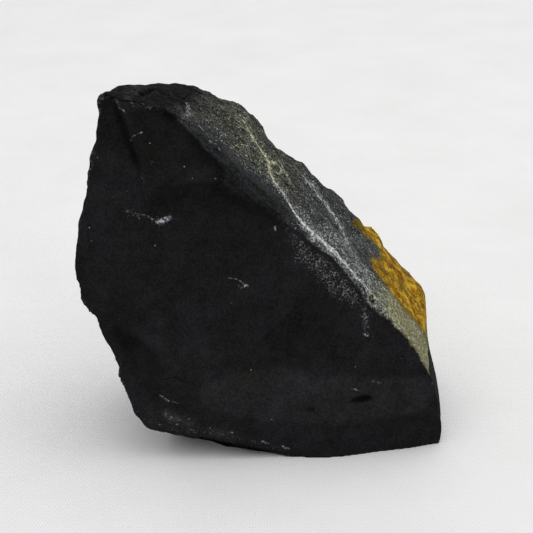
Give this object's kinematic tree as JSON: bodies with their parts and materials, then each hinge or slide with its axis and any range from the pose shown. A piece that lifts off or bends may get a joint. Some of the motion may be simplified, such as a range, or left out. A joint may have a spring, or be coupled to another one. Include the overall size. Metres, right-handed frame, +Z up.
{
  "type": "black silica stone",
  "caption": "Wedge-shaped chunk of dense black silica with a fresh break in front, a grey crust with an iron-stained patch on its slanted side, and a flat underside to stand on.",
  "frame": {"origin": "on the surface the stone stands on, under the middle of its bounding box", "axes": "+Z up; the fresh black break faces -Y; the crust faces +X and up"},
  "size_m": [0.0706, 0.0412, 0.069],
  "materials": {
    "black_silica": "dull dark break, with a grainy grey crust and an iron-stained patch on one side"
  },
  "bodies": {
    "root": {"black_silica_stone": "black_silica"}
  },
  "joints": []
}
